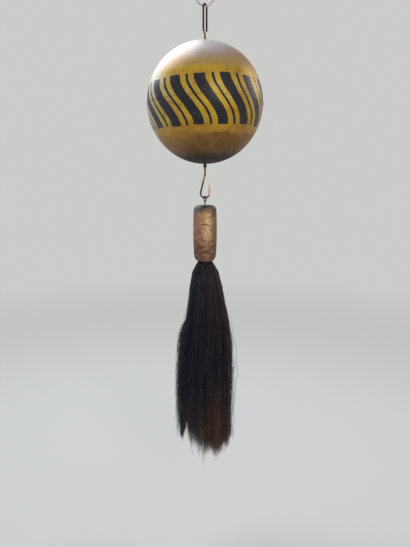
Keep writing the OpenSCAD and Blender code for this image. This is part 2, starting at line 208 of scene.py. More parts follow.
class Graph:
    """The node tree of a material or a world, in the making."""

    def __init__(self, owner, kind):
        owner.use_nodes = True
        self.tree = owner.node_tree
        self.tree.nodes.clear()
        self.out = self.tree.nodes.new("ShaderNodeOutput" + kind).inputs["Surface"]

    def node(self, kind, inputs=None, output=0, **settings):
        """Adds a node, feeds its inputs, and gives one of its outputs."""
        made = self.tree.nodes.new("ShaderNode" + kind)
        for key, value in settings.items():
            setattr(made, key, value)
        for key, value in (inputs or {}).items():
            self.feed(made.inputs[key], value)
        return Flow(self, made.outputs[output])

    def outputs(self, kind, names, inputs=None):
        """Adds a node, and gives several of its outputs."""
        made = self.node(kind, inputs).socket.node
        return [Flow(self, made.outputs[name]) for name in names]

    def feed(self, socket, value):
        if isinstance(value, Flow):
            self.tree.links.new(value.socket, socket)
        elif socket.type == "RGBA" and len(value) == 3:
            socket.default_value = (*value, 1)
        else:
            socket.default_value = value

    def maths(self, operation, *values):
        return self.node("Math", dict(enumerate(values)), operation=operation)

    def vector(self, operation, *values, output=0):
        return self.node("VectorMath", dict(enumerate(values)), output, operation=operation)

    def axes(self, vector):
        return self.outputs("SeparateXYZ", "XYZ", {0: vector})

    def away(self, value, middle):
        """How far a value is from a middle, to either side."""
        return self.maths("ABSOLUTE", value - middle)

    def step(self, value, start, end):
        """A soft rise from 0, where the value is start, to 1, where it is end. Either may be larger."""
        return self.node("MapRange", {"Value": value, "From Min": start, "From Max": end},
                         interpolation_type="SMOOTHSTEP")

    def coats(self, paint, *coats):
        """Lays colours over a first one, each with the share to which it covers."""
        for over, share in coats:
            paint = self.node("Mix", {0: share, 6: paint, 7: over}, 2, data_type="RGBA")
        return paint


# Finishes

class Finish(Graph):
    """A procedural material, laid out round one Principled shader."""

    def __init__(self, name):
        self.material = bpy.data.materials.new(name)
        super().__init__(self.material, "Material")
        self.shader = self.node("BsdfPrincipled")
        self.feed(self.out, self.shader)
        self.place = self.node("TexCoord", output="Object")

    def grain(self, scale, detail=3.0, roughness=0.55, stretch=(1, 1, 1), shift=(0, 0, 0), place=None):
        """Noise from 0 to 1, scale counted in spots to a metre."""
        at = self.node("Mapping", {"Vector": place or self.place, "Location": shift, "Scale": stretch})
        return self.node("TexNoise", {"Vector": at, "Scale": scale, "Detail": detail,
                                      "Roughness": roughness})

    def bump(self, height, distance, strength):
        return self.node("Bump", {"Height": height, "Distance": distance, "Strength": strength})

    def surface(self, **sockets):
        for name, value in sockets.items():
            self.feed(self.shader.socket.node.inputs[name.replace("_", " ")], value)
        return self.material


def bright_steel(ring):
    """Bright wire, smeared grey and nicked."""
    f = Finish("bright_steel")
    smear = f.grain(260, 4)
    nick = f.step(f.grain(1500, 2, stretch=(1, 1, 0.3)), 0.62, 0.72)
    tone = f.coats(ring.steel, ((0.36, 0.34, 0.30), f.step(smear, 0.48, 0.72) * 0.7),
                   ((0.20, 0.18, 0.15), nick * 0.5))
    return f.surface(Base_Color=tone, Metallic=0.95, Roughness=0.24 + smear * 0.2,
                     Normal=f.bump(f.grain(900, 3), 0.05 * MM, 0.5))


def old_iron(rod):
    """Rusty iron, least so above the ball. It is rubbed bright on the open arm of the hook."""
    f = Finish("old_iron")
    x, _, z = f.axes(f.place)
    patches = f.grain(150, 6, 0.7)
    fine = f.grain(1400, 4, 0.65)

    # Parts of the rod, by their heights in metres
    above_ball = f.step(z, -0.096, -0.086)
    crank = f.step(z, -0.094, -0.089) * f.step(z, -0.078, -0.083)
    bend = f.step(z, -0.392, -0.384) * (1 - f.step(z, -0.374, -0.368))
    hook = 1 - f.step(z, -0.366, -0.356)
    arm = f.step(x, 0.0050, 0.0080) * hook * f.step(z, -0.424, -0.417)

    rubbed = f.maths("MAXIMUM", arm * f.step(fine, 0.22, 0.40), bend * 0.6 * f.step(patches, 0.40, 0.55))
    body = f.coats(
        rod.dark,
        (rod.rust, f.step(patches, 0.36, 0.66) * (0.8 - above_ball * 0.5)),
        ((0.27, 0.16, 0.11), f.step(fine, 0.58, 0.75) * (0.45 - above_ball * 0.2)),
        ((0.30, 0.21, 0.15), (1 - above_ball) * 0.42 * f.step(patches, 0.3, 0.6)),
        ((0.27, 0.17, 0.11), crank * 0.8),
        (rod.bare, rubbed * 0.9))
    return f.surface(Base_Color=body, Metallic=0.35 + rubbed * 0.5,
                     Roughness=0.78 - rubbed * 0.38 - fine * 0.1,
                     Normal=f.bump(fine + patches, 0.22 * MM, 0.7))


def collar_iron(rod):
    """Dark iron with fine rust."""
    f = Finish("collar_iron")
    fine = f.grain(1100, 4)
    return f.surface(Base_Color=f.coats(rod.dark, (rod.rust, f.step(fine, 0.5, 0.72) * 0.45)),
                     Metallic=0.3, Roughness=0.7 + fine * 0.15, Normal=f.bump(fine, 0.2 * MM, 0.6))


def plain_metal(name, base, worn, roughness, scale=700, edges=(0.42, 0.68), relief=0.08 * MM):
    """Metal of one colour with fine spots of another."""
    f = Finish(name)
    fine = f.grain(scale, 4)
    return f.surface(Base_Color=f.coats(base, (worn, f.step(fine, *edges))), Metallic=0.8,
                     Roughness=roughness + fine * 0.2, Normal=f.bump(fine, relief, 0.5))


def ball_paint(ball):
    """Aluminium paint with a yellow band and the trade's curved stripes, all by brush and long worn."""
    f = Finish("ball_paint")
    centred = f.node("Mapping", {"Vector": f.place, "Location": -BALL_CENTRE})
    tilted = f.node("VectorRotate", {"Vector": centred, "Angle": ball.tilt}, rotation_type="Y_AXIS")
    x, y, z = f.axes(f.vector("NORMALIZE", tilted))
    degrees = math.degrees(1)
    height = f.maths("ARCSINE", z) * degrees
    round_ball = f.maths("ARCTAN2", x, y * -1.0) * degrees
    slow = f.grain(16, 3)
    patches = f.grain(34, 5, 0.6, shift=(3, 1, 7))
    brush = f.grain(60, 5, 0.6, stretch=(1, 1, 6), shift=(5, 2, 1))
    fine = f.grain(900, 3)
    specks = f.grain(420, 3, 0.7, shift=(9, 4, 2))
    drips = f.grain(240, 4, 0.6, stretch=(1, 1, 0.12), shift=(2, 8, 5))
    leftward = x * -1.0
    # left: the lit left side of the ball. There the paint carries painted highlight and painted sheen: less
    # browning above the band, pale yellow on it, bluish black stripes
    left = f.step(leftward, 0.30, 0.92)

    def uneven(amount):
        """The height in degrees, moved up and down with the patches."""
        return height + patches * amount - amount / 2

    # The caps: silver above and browned towards the band, bronze below and dark at the foot. The lower
    # cap's bronze is partly dirt and partly painted shade, the darker reflection from below the ball
    # painted into its colour
    warm = f.step(height + x * -15.0 + patches * 24 - 12, 62, 24) * (1 - left * 0.9)
    # Darker towards the bottom pole
    foot_darkening = f.step(uneven(18), -44, -68)
    bronze = f.coats(
        ball.bronze,
        (ball.flushed, f.step(slow + x * -0.16 + patches * 0.3, 0.56, 0.78) * 0.75),
        ((0.10, 0.055, 0.030), f.step(patches, 0.50, 0.70) * 0.6))
    cap = f.coats(
        ball.silver,
        # Towards the right the browning is partly painted shade
        (ball.toned, f.maths("MINIMUM", warm * 0.74 + f.step(x, 0.25, 0.75) * 0.35, 1.0)),
        ((0.74, 0.73, 0.73), f.step(brush, 0.46, 0.74) * 0.14),
        ((0.34, 0.18, 0.075), f.step(uneven(10), 36, 24) * (1 - left * 0.8) * 0.5),
        # Darker towards the right side of the upper cap: painted shade
        ((0.20, 0.12, 0.055), f.step(x, 0.15, 0.80) * f.step(height, 62, 34) * 0.42),
        (bronze, f.step(height, 6, -34)),
        (ball.foot_darkening, foot_darkening * 0.96),
        ((0.10, 0.065, 0.045), f.step(specks, 0.66, 0.76) * 0.35))

    # The band: yellow and stained, faded into the cap above it, and run down into the one below
    wave = (f.grain(46, 4, shift=(1, 6, 3)) - 0.5) * 5.0
    band_height = height + wave + (f.grain(420, 3) - 0.5) * 1.6
    top, foot = ball.band_top * degrees, ball.band_foot * degrees
    faded = f.step(uneven(16), top + 22, top)
    faded = faded * faded * (1 - left) * 0.5
    seeped = f.step(uneven(14), foot - 22, foot - 1)
    seeped = seeped * seeped * (0.22 + f.step(leftward, -0.15, 0.60) * 0.45)
    run = (f.grain(30, 4, 0.6, stretch=(1, 1, 0.5), shift=(2, 9, 4)) - 0.42) * 16
    on_band = (f.maths("MAXIMUM", f.step(band_height + run, foot - 3.5, foot + 2.0), seeped)
               * f.maths("MAXIMUM", f.step(band_height, top + 5.5, top - 4.5), faded))
    thin = 1 - f.step(f.grain(70, 4, shift=(4, 4, 4)), 0.56, 0.72) * 0.25
    rubbed = f.step(f.away(height, 5.0), 15.0, 3.0) * f.step(drips * 0.5 + patches * 0.5, 0.46, 0.58)
    # Bluish white over the left side of the band and into the cap: painted glare, a painted highlight of
    # the light from the left
    painted_glare = f.maths("MAXIMUM", f.step(leftward, 0.78, 0.96) * 0.5,
                       f.step(leftward, 0.56, 0.86) * f.step(height, -4, 20) * 0.85)
    band = f.coats(
        ball.yellow,
        ((0.78, 0.52, 0.03), f.step(brush, 0.5, 0.74) * 0.5),
        ((0.46, 0.24, 0.010), f.step(slow * 0.6 + patches * 0.4, 0.46, 0.60) * 0.7),
        # Pale yellow on the left side: painted highlight
        (ball.highlighted, left * f.step(brush, 0.26, 0.50) * 0.85),
        ((0.76, 0.62, 0.19), rubbed * 0.55),
        (ball.stain, f.step(patches, 0.50, 0.68) * 0.60),
        ((0.22, 0.10, 0.022), f.step(drips, 0.56, 0.70) * 0.45),
        (ball.stain, f.step(uneven(12), -16, -32) * 0.5),
        ((0.30, 0.13, 0.03), f.step(fine * 0.4 + specks * 0.6, 0.56, 0.66) * 0.35),
        # painted glare on the left side
        ((0.72, 0.74, 0.71), painted_glare),
        # Darker towards the right side of the band: painted shade
        ((0.20, 0.11, 0.03), f.step(x, 0.30, 0.90) * 0.42))

    # The stripes of the trade: a broad one and a narrow one, over and over, all round the band
    pitch = ball.stripe_pitch * degrees
    s_top, s_foot = ball.stripe_top * degrees, ball.stripe_foot * degrees
    sway = (f.grain(60, 3, shift=(7, 7, 1)) - 0.5) * 2.0 + (f.grain(500, 2) - 0.5) * 0.5
    swirl = f.maths("SINE", (height - (s_top + s_foot) / 2) * (math.pi / (s_top - s_foot)))
    turn = (round_ball + swirl * ball.stripe_swirl * degrees + sway) / pitch
    number = f.maths("FLOORED_MODULO", f.maths("FLOOR", turn), float(round(360 / pitch)))
    own = f.node("TexWhiteNoise", {"W": number}, noise_dimensions="1D")
    along = f.maths("FRACT", turn) * pitch
    broad = 1 - f.step(f.away(along, 6.4), 5.1, 5.6)
    narrow = 1 - f.step(f.away(along, 18.4), 1.15, 1.55)
    stripe_height = height + wave * 0.35 + (own - 0.5) * 1.2 + (f.grain(300, 2) - 0.5) * 0.8
    inside = f.step(stripe_height, s_foot, s_foot + 0.6) * f.step(stripe_height, s_top + 0.3, s_top - 0.3)
    worn = f.step(specks * 0.45 + drips * 0.55, 0.60, 0.68)
    stripes = f.maths("MAXIMUM", broad, narrow) * inside * (1 - worn * 0.6)
    # The stripes' black, with a bluish painted sheen on the lit left side
    ink = f.coats(ball.black, ((0.034, 0.022, 0.022), f.step(brush, 0.42, 0.66) * 0.8),
                  ((0.030, 0.040, 0.066), left * 0.7))

    # All of it on one sheet, with hairline scratches and the seam's dirt
    covered = on_band * thin
    hairline = f.step(f.away(f.grain(26, 3, 0.7, shift=(6, 3, 8)), 0.5), 0.0030, 0.0012)
    scratch = hairline * f.step(f.grain(38, 2, shift=(8, 1, 2)), 0.52, 0.60)
    seam = 1 - f.step(f.maths("ABSOLUTE", height + (patches - 0.5) * 0.6), 0.15, 0.75)
    paint = f.coats(cap, (band, covered), (ink, stripes), ((0.40, 0.31, 0.18), scratch * 0.45),
                    ((0.12, 0.08, 0.045), seam * (0.4 - stripes * 0.28)))
    bare = (1 - covered) * (1 - stripes)
    relief = on_band * 0.25 + stripes * 0.35 + brush * 0.25 + fine * 0.12 - worn * 0.2
    return f.surface(Base_Color=paint, Metallic=(bare * 0.45 + 0.25 - stripes * 0.25) * (1 - foot_darkening * 0.8),
                     Roughness=0.37 + patches * 0.14 - stripes * 0.06 + worn * 0.1 + foot_darkening * 0.25,
                     Specular_IOR_Level=0.35, Normal=f.bump(relief, 0.16 * MM, 0.6))


def worn_gilding(head):
    """Gold bronze over a pinkish ground, cracked and rubbed through to red-brown wood."""
    f = Finish("worn_gilding")
    x, _, z = f.axes(f.place)
    cracks = f.node("Attribute", output="Fac", attribute_name="crack")
    rise = (z - HEAD_LOW.z) / (HEAD_HIGH.z - HEAD_LOW.z)
    patches = f.grain(46, 5, 0.62)
    blotches = f.grain(130, 5, 0.66, shift=(7, 3, 5))
    crumbs = f.grain(360, 5, 0.65, shift=(3, 2, 1))
    fibre = f.grain(330, 4, 0.6, stretch=(1, 1, 0.16))
    slant = f.node("VectorRotate", {"Vector": f.place, "Angle": math.radians(38)}, rotation_type="Y_AXIS")
    streaks = f.grain(240, 4, 0.62, stretch=(1, 1, 0.22), shift=(4, 1, 6), place=slant)
    drift = patches - 0.5
    leftward = x * -1.0
    left = f.step(leftward, -0.004, 0.022)
    # right: the head's right edge, which is darkened below as painted shade
    right = f.step(x + drift * 0.014, 0.008, 0.023)
    # A vertical streak a little right of the front: painted highlight, brighter gilt where a lamp's
    # highlight runs down the head
    painted_highlight = f.step(f.away(x, 0.007), 0.013, 0.002) * f.step(rise, 0.20, 0.45)
    bright = f.step(blotches + fibre * 0.4 + painted_highlight * 0.12 - left * 0.16, 0.66, 0.92)
    low = f.step(rise + drift * 0.5, 0.52, 0.20)
    rubbed = f.maths("MINIMUM", low * f.step(blotches * 0.75 + crumbs * 0.25, 0.44, 0.54)
                     + f.step(crumbs + fibre, 1.16, 1.34) * 0.6, 1.0)
    shoulder = f.step(rise + drift * 0.24 + (blotches - 0.5) * 0.12, 0.80, 0.98)
    # A bluish grey patch on the upper left shoulder: partly a chip in the gilding, partly painted
    # reflection of bluish light on the worn gloss
    chip_and_reflection = (f.step(rise + drift * 0.16, 0.78, 0.93)
               * f.step(leftward + drift * 0.022 + (crumbs - 0.5) * 0.012, 0.004, 0.018))
    paint = f.coats(
        head.gilt,
        (head.ground, f.step(patches + left * 0.34, 0.46, 0.80) * 0.9),
        # Bright gilt in blotches, and along the painted highlight streak
        ((0.88, 0.57, 0.32), bright * 0.75),
        ((0.20, 0.12, 0.065), f.step(blotches, 0.46, 0.30) * 0.62),
        ((0.24, 0.115, 0.075), f.step(streaks, 0.50, 0.62) * 0.42),
        ((0.90, 0.66, 0.44), f.step(streaks, 0.44, 0.32) * 0.30),
        # Darker along the right edge: painted shade
        ((0.105, 0.070, 0.040), right * 0.80),
        ((0.150, 0.080, 0.050), left * f.step(patches, 0.36, 0.62) * 0.45),
        (head.rub, rubbed * 0.95),
        ((0.12, 0.060, 0.034), f.step(rise, 0.42, 0.08) * 0.45),
        ((0.040, 0.028, 0.020), shoulder * 0.85),
        ((0.15, 0.185, 0.215), chip_and_reflection * f.step(blotches, 0.30, 0.50) * 0.8),
        (head.soot, cracks))
    relief = blotches * 1.2 + crumbs * 0.6 + fibre * 0.4 - streaks * 0.8 - rubbed * 0.4
    return f.surface(Base_Color=paint, Metallic=0.50 - rubbed * 0.40 - chip_and_reflection * 0.3,
                     Roughness=0.40 + rubbed * 0.30 + blotches * 0.14,
                     Normal=f.bump(relief, 0.45 * MM, 0.9))


def horse_hair(hair):
    """Black hair with a blue sheen, browned and bleached as each strand's attribute says."""
    f = Finish("horse_hair")
    brown, pale, own = f.axes(f.node("Attribute", output="Vector", attribute_name="strand"))
    glint = f.step(f.grain(230, 3, 0.7, stretch=(1.5, 1.5, 0.35)), 0.54, 0.66)
    tone = f.coats(
        hair.black,
        ((0.070, 0.066, 0.078), own * own * own),
        ((0.195, 0.172, 0.178), glint * (0.08 + own * 0.5)),
        (hair.brown, brown * (0.85 + glint * 0.15)),
        (hair.pale, pale * (0.7 + glint * 0.3)))
    return f.surface(Base_Color=tone, Roughness=0.34 + own * 0.22, Specular_IOR_Level=0.36)


def pitch_finish():
    """Black pitch on the bound root of the hair."""
    f = Finish("pitch")
    fine = f.grain(500, 4)
    return f.surface(Base_Color=f.coats((0.02, 0.015, 0.012), ((0.06, 0.04, 0.03), fine)), Roughness=0.6,
                     Normal=f.bump(fine, 0.3 * MM, 0.6))


# Modelling

def nothing_selected():
    if bpy.context.object and bpy.context.object.mode != "OBJECT":
        bpy.ops.object.mode_set(mode="OBJECT")
    bpy.ops.object.select_all(action="DESELECT")


def edit_all():
    """Enters edit mode with all of the active piece selected."""
    bpy.ops.object.mode_set(mode="EDIT")
    bpy.ops.mesh.select_all(action="SELECT")


def leave_edit(merge=True):
    """Turns the active piece's faces outwards, after merging doubled vertices, and leaves edit mode."""
    bpy.ops.mesh.select_all(action="SELECT")
    if merge:
        bpy.ops.mesh.remove_doubles(threshold=MERGE)
    bpy.ops.mesh.normals_make_consistent(inside=False)
    bpy.ops.object.mode_set(mode="OBJECT")


def seat():
    """Moves the active piece's origin to the sign's, with its shape left where it is."""
    bpy.ops.object.transform_apply(location=True, rotation=True, scale=True)


def select_where(test):
    """In edit mode, selects the vertices for which test(vertex) holds, and what they span."""
    mesh = bmesh.from_edit_mesh(bpy.context.object.data)
    bpy.ops.mesh.select_all(action="DESELECT")
    for vertex in mesh.verts:
        vertex.select = test(vertex)
    mesh.select_flush_mode()
    mesh.select_flush(True)
    bmesh.update_edit_mesh(bpy.context.object.data)


def settle(name, body, material, stands_for=(), smooth=40):
    """Names the active piece, seats it, and gives it its finish and the body it moves with."""
    piece = bpy.context.object
    piece.name = piece.data.name = name
    seat()
    bpy.ops.object.shade_smooth_by_angle(angle=math.radians(smooth))
    piece.data.materials.clear()
    piece.data.materials.append(material)
    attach(piece, body)
    if stands_for:
        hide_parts(*stands_for)


def dress(node, material):
    """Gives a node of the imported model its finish."""
    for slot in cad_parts[node].material_slots:
        slot.material = material


class Wire:
    """Round wire that is drawn on from its first end by extruding and spinning its last face.
    Its ends are blunted over a share of its thickness."""

    def __init__(self, start, along, radius, sides=16, blunt=0.25):
        nothing_selected()
        self.tip, self.along = Vector(start), Vector(along).normalized()
        self.blunt = radius * 2 * blunt
        turn = Vector((0, 0, 1)).rotation_difference(self.along).to_euler()
        small = radius - self.blunt
        bpy.ops.mesh.primitive_circle_add(vertices=sides, radius=small, fill_type="NGON",
                                          location=self.tip, rotation=turn)
        edit_all()
        self.straight(self.blunt)
        self.widen(radius / small)
        self.taper = small / radius

    def straight(self, reach, steps=1):
        for _ in range(steps):
            by = self.along * (reach / steps)
            bpy.ops.mesh.extrude_region_move(TRANSFORM_OT_translate={"value": by})
            self.tip += by

    def widen(self, factor):
        bpy.ops.transform.resize(value=(factor,) * 3, center_override=self.tip)

    def bend(self, centre, axis, turn, steps):
        centre, axis = Vector(centre), Vector(axis)
        bpy.ops.mesh.spin(steps=steps, angle=-turn, center=centre, axis=axis)
        spun = Matrix.Rotation(turn, 3, axis)
        self.tip = centre + spun @ (self.tip - centre)
        self.along = spun @ self.along

    def shift(self, by):
        bpy.ops.transform.translate(value=by)
        self.tip += Vector(by)

    def end(self):
        self.straight(self.blunt)
        self.widen(self.taper)
        leave_edit()


def draw_line(points):
    """Draws a line through the points as edges, and stays in edit mode with all of it selected."""
    nothing_selected()
    bpy.ops.mesh.primitive_plane_add(size=MM, location=points[0])
    edit_all()
    bpy.ops.mesh.merge(type="CENTER")
    for before, after in zip(points, points[1:]):
        bpy.ops.mesh.extrude_region_move(TRANSFORM_OT_translate={"value": after - before})
    bpy.ops.mesh.select_all(action="SELECT")


def modify(kind, **settings):
    """Applies a modifier to the active piece."""
    modifier = bpy.context.object.modifiers.new(kind.lower(), kind)
    for key, value in settings.items():
        setattr(modifier, key, value)
    bpy.ops.object.modifier_apply(modifier=modifier.name)


def roughen(depth, size, inward=0.5):
    """Works soft dents into the active piece: depth in all, of which inward is the share pressed in."""
    texture = bpy.data.textures.new("dents", "CLOUDS")
    texture.noise_scale, texture.noise_depth = size, 2
    modify("DISPLACE", texture=texture, texture_coords="LOCAL", strength=depth, mid_level=inward)


def eased(t):
    """A soft rise from 0 to 1 as t does, level before and after."""
    t = min(1.0, max(0.0, t))
    return t * t * (3 - 2 * t)


class SIGN_OT_ring(bpy.types.Operator):
    """Winds the bright hanging ring, its ends lapped side by side at the right"""
    bl_idname = "barber_sign.ring"
    bl_label = "Hanging ring"

    STEPS_PER_TURN, SIDES, BLUNT = 84, 18, 0.12

    def execute(self, context):
        ring = context.scene.barber_sign.ring
        inner = ring.bore / 2 + ring.wire / 2
        lap = math.tau * (ring.turns - 1)

        def radius(a):
            return inner + (ring.wire + ring.lap_gap) * eased((a - ring.start - lap) / (math.tau - lap))

        centre = Vector((0, 0, -(radius(math.pi / 2) - ring.wire / 2)))

        def out(a):
            return Vector((math.cos(a), 0, math.sin(a)))

        steps = round(ring.turns * self.STEPS_PER_TURN)
        turn = ring.turns * math.tau / steps
        a = ring.start
        along = Vector((-math.sin(a), 0, math.cos(a)))
        start = centre + out(a) * radius(a) - along * (self.BLUNT * ring.wire)
        wire = Wire(start, along, ring.wire / 2, self.SIDES, self.BLUNT)
        for _ in range(steps):
            wire.bend(centre, (0, -1, 0), turn, 1)
            wire.shift(out(a + turn) * (radius(a + turn) - radius(a)))
            a += turn
        wire.end()
        settle("ring_wire", "ring", bright_steel(ring), ["hanging_ring"])
        return {"FINISHED"}


class SIGN_OT_rod(bpy.types.Operator):
    """Draws the iron rod from the hook's open end up to the folded end of its eye"""
    bl_idname = "barber_sign.rod"
    bl_label = "Iron rod"

    def execute(self, context):
        rod = context.scene.barber_sign.rod
        r, slope = rod.thickness / 2, rod.hook_slope
        neck_side = rod.hook_neck * (1 - math.cos(slope))
        run = (rod.hook_radius * math.cos(slope) - neck_side) / math.sin(slope)
        hook_centre = Vector((0, 0, rod.hook_top - rod.hook_neck * math.sin(slope) - run * math.cos(slope)
                              - rod.hook_radius * math.sin(slope)))
        wire = Wire(hook_centre + Vector((rod.hook_radius, 0, rod.hook_arm)), (0, 0, -1), r)
        wire.straight(rod.hook_arm - wire.blunt, 5)
        wire.bend(hook_centre, (0, 1, 0), math.pi + slope, 30)
        wire.straight(run, 9)
        wire.bend((-rod.hook_neck, 0, rod.hook_top), (0, -1, 0), slope, 5)

        crank_side = rod.crank_radius * (1 - math.cos(rod.crank_slope))
        crank_run = (rod.eye_half - 2 * crank_side) / math.sin(rod.crank_slope)
        crank_foot = (rod.crank_top - 2 * rod.crank_radius * math.sin(rod.crank_slope)
                      - crank_run * math.cos(rod.crank_slope))
        wire.straight(crank_foot - rod.hook_top, 60)
        side = Vector((math.cos(rod.eye_turn), math.sin(rod.eye_turn), 0))
        axis = side.cross(Vector((0, 0, -1)))
        foot, top = Vector((0, 0, crank_foot)), Vector((0, 0, rod.crank_top))
        wire.bend(foot - side * rod.crank_radius, -axis, rod.crank_slope, 8)
        wire.straight(crank_run, 2)
        wire.bend(top + side * (rod.crank_radius - rod.eye_half), axis, rod.crank_slope, 8)
        wire.straight(rod.eye_centre - rod.crank_top, 10)
        wire.bend((0, 0, rod.eye_centre), axis, math.pi, 26)
        wire.straight(rod.tail - wire.blunt, 11)
        wire.end()
        roughen(0.14 * MM, 4 * MM)
        settle("iron_rod", "rod", old_iron(rod), ["hook_rod"], 60)
        return {"FINISHED"}


class SIGN_OT_collar(bpy.types.Operator):
    """Finishes the collar that carries the ball, its pin, and the tassel's eye"""
    bl_idname = "barber_sign.collar"
    bl_label = "Collar and tassel eye"

    def execute(self, context):
        rod = context.scene.barber_sign.rod
        dress("support_collar", collar_iron(rod))
        dress("collar_pin", plain_metal("pin_metal", (0.30, 0.20, 0.11), (0.12, 0.08, 0.05), 0.45))
        dress("tassel_eye", collar_iron(rod))
        return {"FINISHED"}


class SIGN_OT_ball(bpy.types.Operator):
    """Spins the ball's two halves of thin sheet, with the turned edge between them"""
    bl_idname = "barber_sign.ball"
    bl_label = "Painted ball"

    SEGMENTS, RINGS = 144, 96
    SHEET, HOLE, DENT_SIZE = 1 * MM, 2.2 * MM, 70 * MM
    # The turned edge at the foot of the upper half: how far out, how high, and the nub at its right
    EDGE_OUT, EDGE_HEIGHT, NUB = 0.55 * MM, 1.4 * MM, 1.008

    def half(self, up, dents):
        """Half of a sphere of sheet, with a hole for the rod at its pole. The upper one has the edge."""
        nothing_selected()
        bpy.ops.mesh.primitive_uv_sphere_add(segments=self.SEGMENTS, ring_count=self.RINGS,
                                             radius=BALL_RADIUS, location=BALL_CENTRE)
        edit_all()
        bpy.ops.mesh.bisect(plane_co=BALL_CENTRE, plane_no=(0, 0, 1), clear_inner=up, clear_outer=not up)
        select_where(lambda v: abs(v.co.z) > BALL_RADIUS * 0.9999)
        bpy.ops.mesh.delete(type="VERT")
        ring_turn = math.pi / self.RINGS
        first_ring = BALL_RADIUS * math.cos(ring_turn * 1.5)
        select_where(lambda v: abs(v.co.z) > first_ring)
        bpy.ops.mesh.extrude_edges_move()
        smaller = self.HOLE / (BALL_RADIUS * math.sin(ring_turn))
        rim = BALL_CENTRE + Vector((0, 0, BALL_RADIUS if up else -BALL_RADIUS))
        bpy.ops.transform.resize(value=(smaller, smaller, 0.02), center_override=rim)
        if up:
            select_where(lambda v: abs(v.co.z) < 1e-6)
            wide = (BALL_RADIUS + self.EDGE_OUT) / BALL_RADIUS
            bpy.ops.mesh.extrude_edges_move()
            bpy.ops.transform.resize(value=(wide, wide, 1), center_override=BALL_CENTRE)
            bpy.ops.mesh.extrude_edges_move(TRANSFORM_OT_translate={"value": (0, 0, -self.EDGE_HEIGHT)})
            select_where(lambda v: v.co.x > BALL_RADIUS * 0.9985 and v.co.z < 1e-6
                         and v.co.xy.length > BALL_RADIUS * 1.001)
            bpy.ops.transform.resize(value=(self.NUB, self.NUB, 1), center_override=BALL_CENTRE)
        leave_edit(merge=False)
        seat()
        roughen(dents, self.DENT_SIZE, 1.0)
        modify("SOLIDIFY", thickness=self.SHEET, offset=-1)

    def execute(self, context):
        ball = context.scene.barber_sign.ball
        paint = ball_paint(ball)
        self.half(True, ball.dents)
        settle("ball_crown_sheet", "ball", paint, ["ball_upper"], 50)
        self.half(False, ball.dents)
        settle("ball_foot_sheet", "ball", paint, ["ball_lower"], 50)
        inside = plain_metal("solder_and_iron", (0.25, 0.24, 0.22), (0.12, 0.10, 0.08), 0.5)
        for washer in ("crown_washer", "foot_washer", "head_washer"):
            dress(washer, inside)
        return {"FINISHED"}


